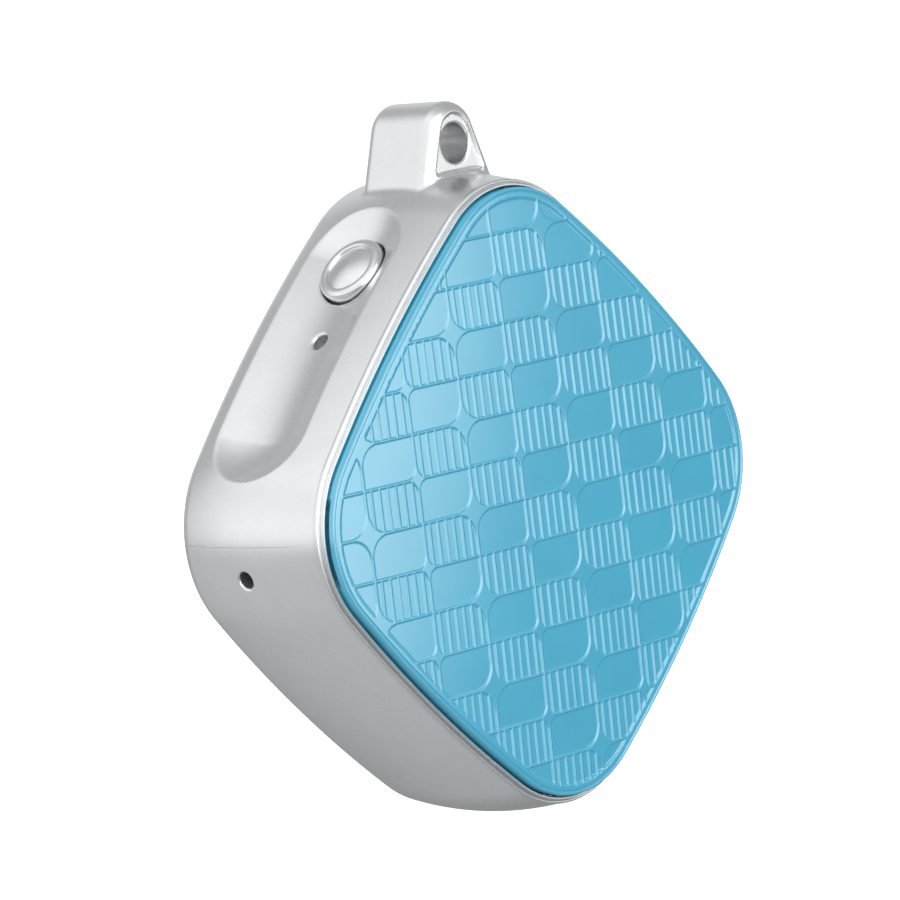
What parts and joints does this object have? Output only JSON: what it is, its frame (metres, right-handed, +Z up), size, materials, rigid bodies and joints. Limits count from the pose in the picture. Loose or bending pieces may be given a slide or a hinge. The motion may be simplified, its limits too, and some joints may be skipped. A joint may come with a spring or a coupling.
{
  "type": "bluetooth tracker tag",
  "caption": "Diamond-shaped pendant locator tag with a clip-fitted embossed cover, a recessed side button, a lanyard lug and a coin cell.",
  "frame": {"origin": "centre of the lanyard hole, at mid-thickness of the lug", "axes": "+Z up from the body to the lug, -Y out of the embossed front cover, +X to the right seen from the front"},
  "size_m": [0.0442, 0.0147, 0.0491],
  "materials": {
    "silver_case": "satin silver metallic lacquer on moulded ABS",
    "silver_button": "satin silver metallic lacquer, slightly brighter on the rim",
    "cover_blue": "glossy moulded sky-blue plastic with an embossed pattern",
    "gasket_grey": "soft silicone",
    "screw_steel": "nickel-plated steel",
    "steel_sheet": "stamped stainless sheet",
    "cell_steel": "pressed nickel-plated steel",
    "contact_gold": "gold-plated spring bronze",
    "coil_copper": "enamelled copper winding",
    "nylon_ivory": "natural nylon",
    "moulding_black": "fine-textured black moulding",
    "chip_black": "matt epoxy package",
    "board_green": "solder-masked glass-epoxy board",
    "clear_acrylic": "clear moulded acrylic",
    "led_white": "white lens package",
    "mesh_black": "woven acoustic mesh",
    "cathode_black": "pressed powder",
    "separator_paper": "unwoven sheet",
    "anode_grey": "dull soft metal",
    "antenna_ceramic": "white ceramic",
    "chip_tan": "small ceramic parts with tinned ends"
  },
  "bodies": {
    "case": {"case_frame": "silver_case", "rear_cover": "silver_case", "rear_gasket": "gasket_grey", "rear_screws": "screw_steel", "switch_housing": "moulding_black", "switch_plate": "steel_sheet", "switch_dome": "contact_gold", "light_pipe": "clear_acrylic", "status_led": "led_white", "port_mesh": "mesh_black", "main_board": "board_green", "battery_tray": "moulding_black", "tray_screws": "screw_steel", "cell_can": "cell_steel", "cell_cathode": "cathode_black", "cell_separator": "separator_paper", "cell_anode": "anode_grey", "cell_gasket": "nylon_ivory", "cell_cap": "cell_steel", "positive_contact": "contact_gold", "negative_contact": "contact_gold", "buzzer_case": "moulding_black", "buzzer_diaphragm": "steel_sheet", "buzzer_coil": "coil_copper", "shield_can": "steel_sheet", "radio_chip": "chip_black", "chip_antenna": "antenna_ceramic", "crystal": "steel_sheet", "chip_passives": "chip_tan"},
    "cover": {"front_cover": "cover_blue", "cover_gasket": "gasket_grey"},
    "button": {"button_cap": "silver_button", "button_seal": "gasket_grey", "switch_plunger": "nylon_ivory"}
  },
  "joints": [
    {"name": "button_press", "type": "slide", "parent": "case", "child": "button", "axis": [0.7071, 0, -0.7071], "range_m": [0, 0.0003], "stiffness_N_per_m": 5000},
    {"name": "cover_pull", "type": "slide", "parent": "case", "child": "cover", "axis": [0, -1, 0], "range_m": [0, 0.02]}
  ]
}
